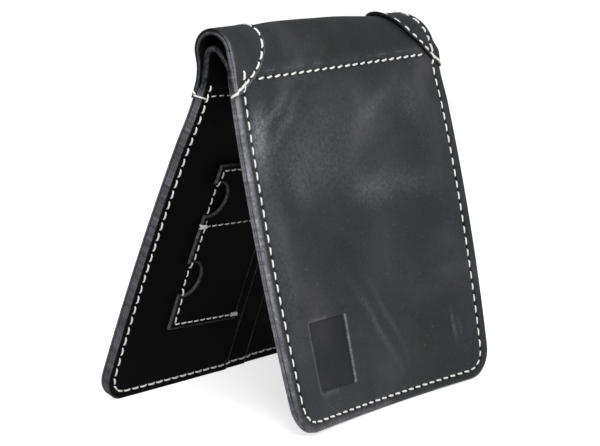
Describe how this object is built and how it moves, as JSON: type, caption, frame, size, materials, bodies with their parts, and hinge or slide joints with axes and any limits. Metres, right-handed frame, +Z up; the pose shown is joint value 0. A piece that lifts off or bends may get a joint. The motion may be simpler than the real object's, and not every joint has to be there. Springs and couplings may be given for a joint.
{
  "type": "bifold wallet",
  "caption": "Folding leather wallet standing as an open tent: stitched cover, liner, card pockets, patched spine ends and a fold hinge.",
  "frame": {"origin": "on the floor, at the centre of the bounding box of the wallet standing open as a tent", "axes": "+Z up, +X along the fold towards the end with the larger patch, -Y towards the front half's outer face with the blank recess"},
  "size_m": [0.0904, 0.0684, 0.1019],
  "materials": {
    "cover_leather": "charcoal pull-up leather, satin",
    "liner_leather": "near-black leather, matte",
    "pocket_leather": "near-black leather, matte",
    "patch_leather": "charcoal leather, satin",
    "thread": "off-white waxed thread"
  },
  "bodies": {
    "front_half": {"cover_front": "cover_leather", "liner_front": "liner_leather", "card_pocket_front": "pocket_leather", "perimeter_thread_front_outer": "thread", "perimeter_thread_front_inner": "thread", "cross_seam_thread_front_outer": "thread", "cross_seam_thread_front_inner": "thread", "edge_wrap_front_left": "thread", "edge_wrap_front_right": "thread", "cover_spine": "cover_leather", "liner_spine": "liner_leather", "spine_patch_left": "patch_leather", "spine_patch_right": "patch_leather", "patch_thread_left": "thread", "patch_thread_right": "thread", "spine_edge_thread_right": "thread"},
    "back_half": {"cover_back": "cover_leather", "liner_back": "liner_leather", "card_pocket_back_rear": "pocket_leather", "card_pocket_back_middle": "pocket_leather", "small_pocket": "pocket_leather", "perimeter_thread_back_outer": "thread", "perimeter_thread_back_inner": "thread", "cross_seam_thread_back_outer": "thread", "cross_seam_thread_back_inner": "thread", "edge_wrap_back_left": "thread", "edge_wrap_back_right": "thread", "small_pocket_thread": "thread", "small_pocket_divider_thread": "thread", "bar_tack_top": "thread", "bar_tack_divider": "thread", "bar_tack_bottom": "thread"}
  },
  "joints": [
    {"name": "fold", "type": "hinge", "parent": "front_half", "child": "back_half", "pos_m": [0, -0.00719, 0.09272], "axis": [1, 0, 0], "range_deg": [-33, 147], "deforming": ["cover_spine", "liner_spine", "spine_patch_left", "spine_patch_right", "patch_thread_left", "patch_thread_right", "spine_edge_thread_right"]}
  ]
}
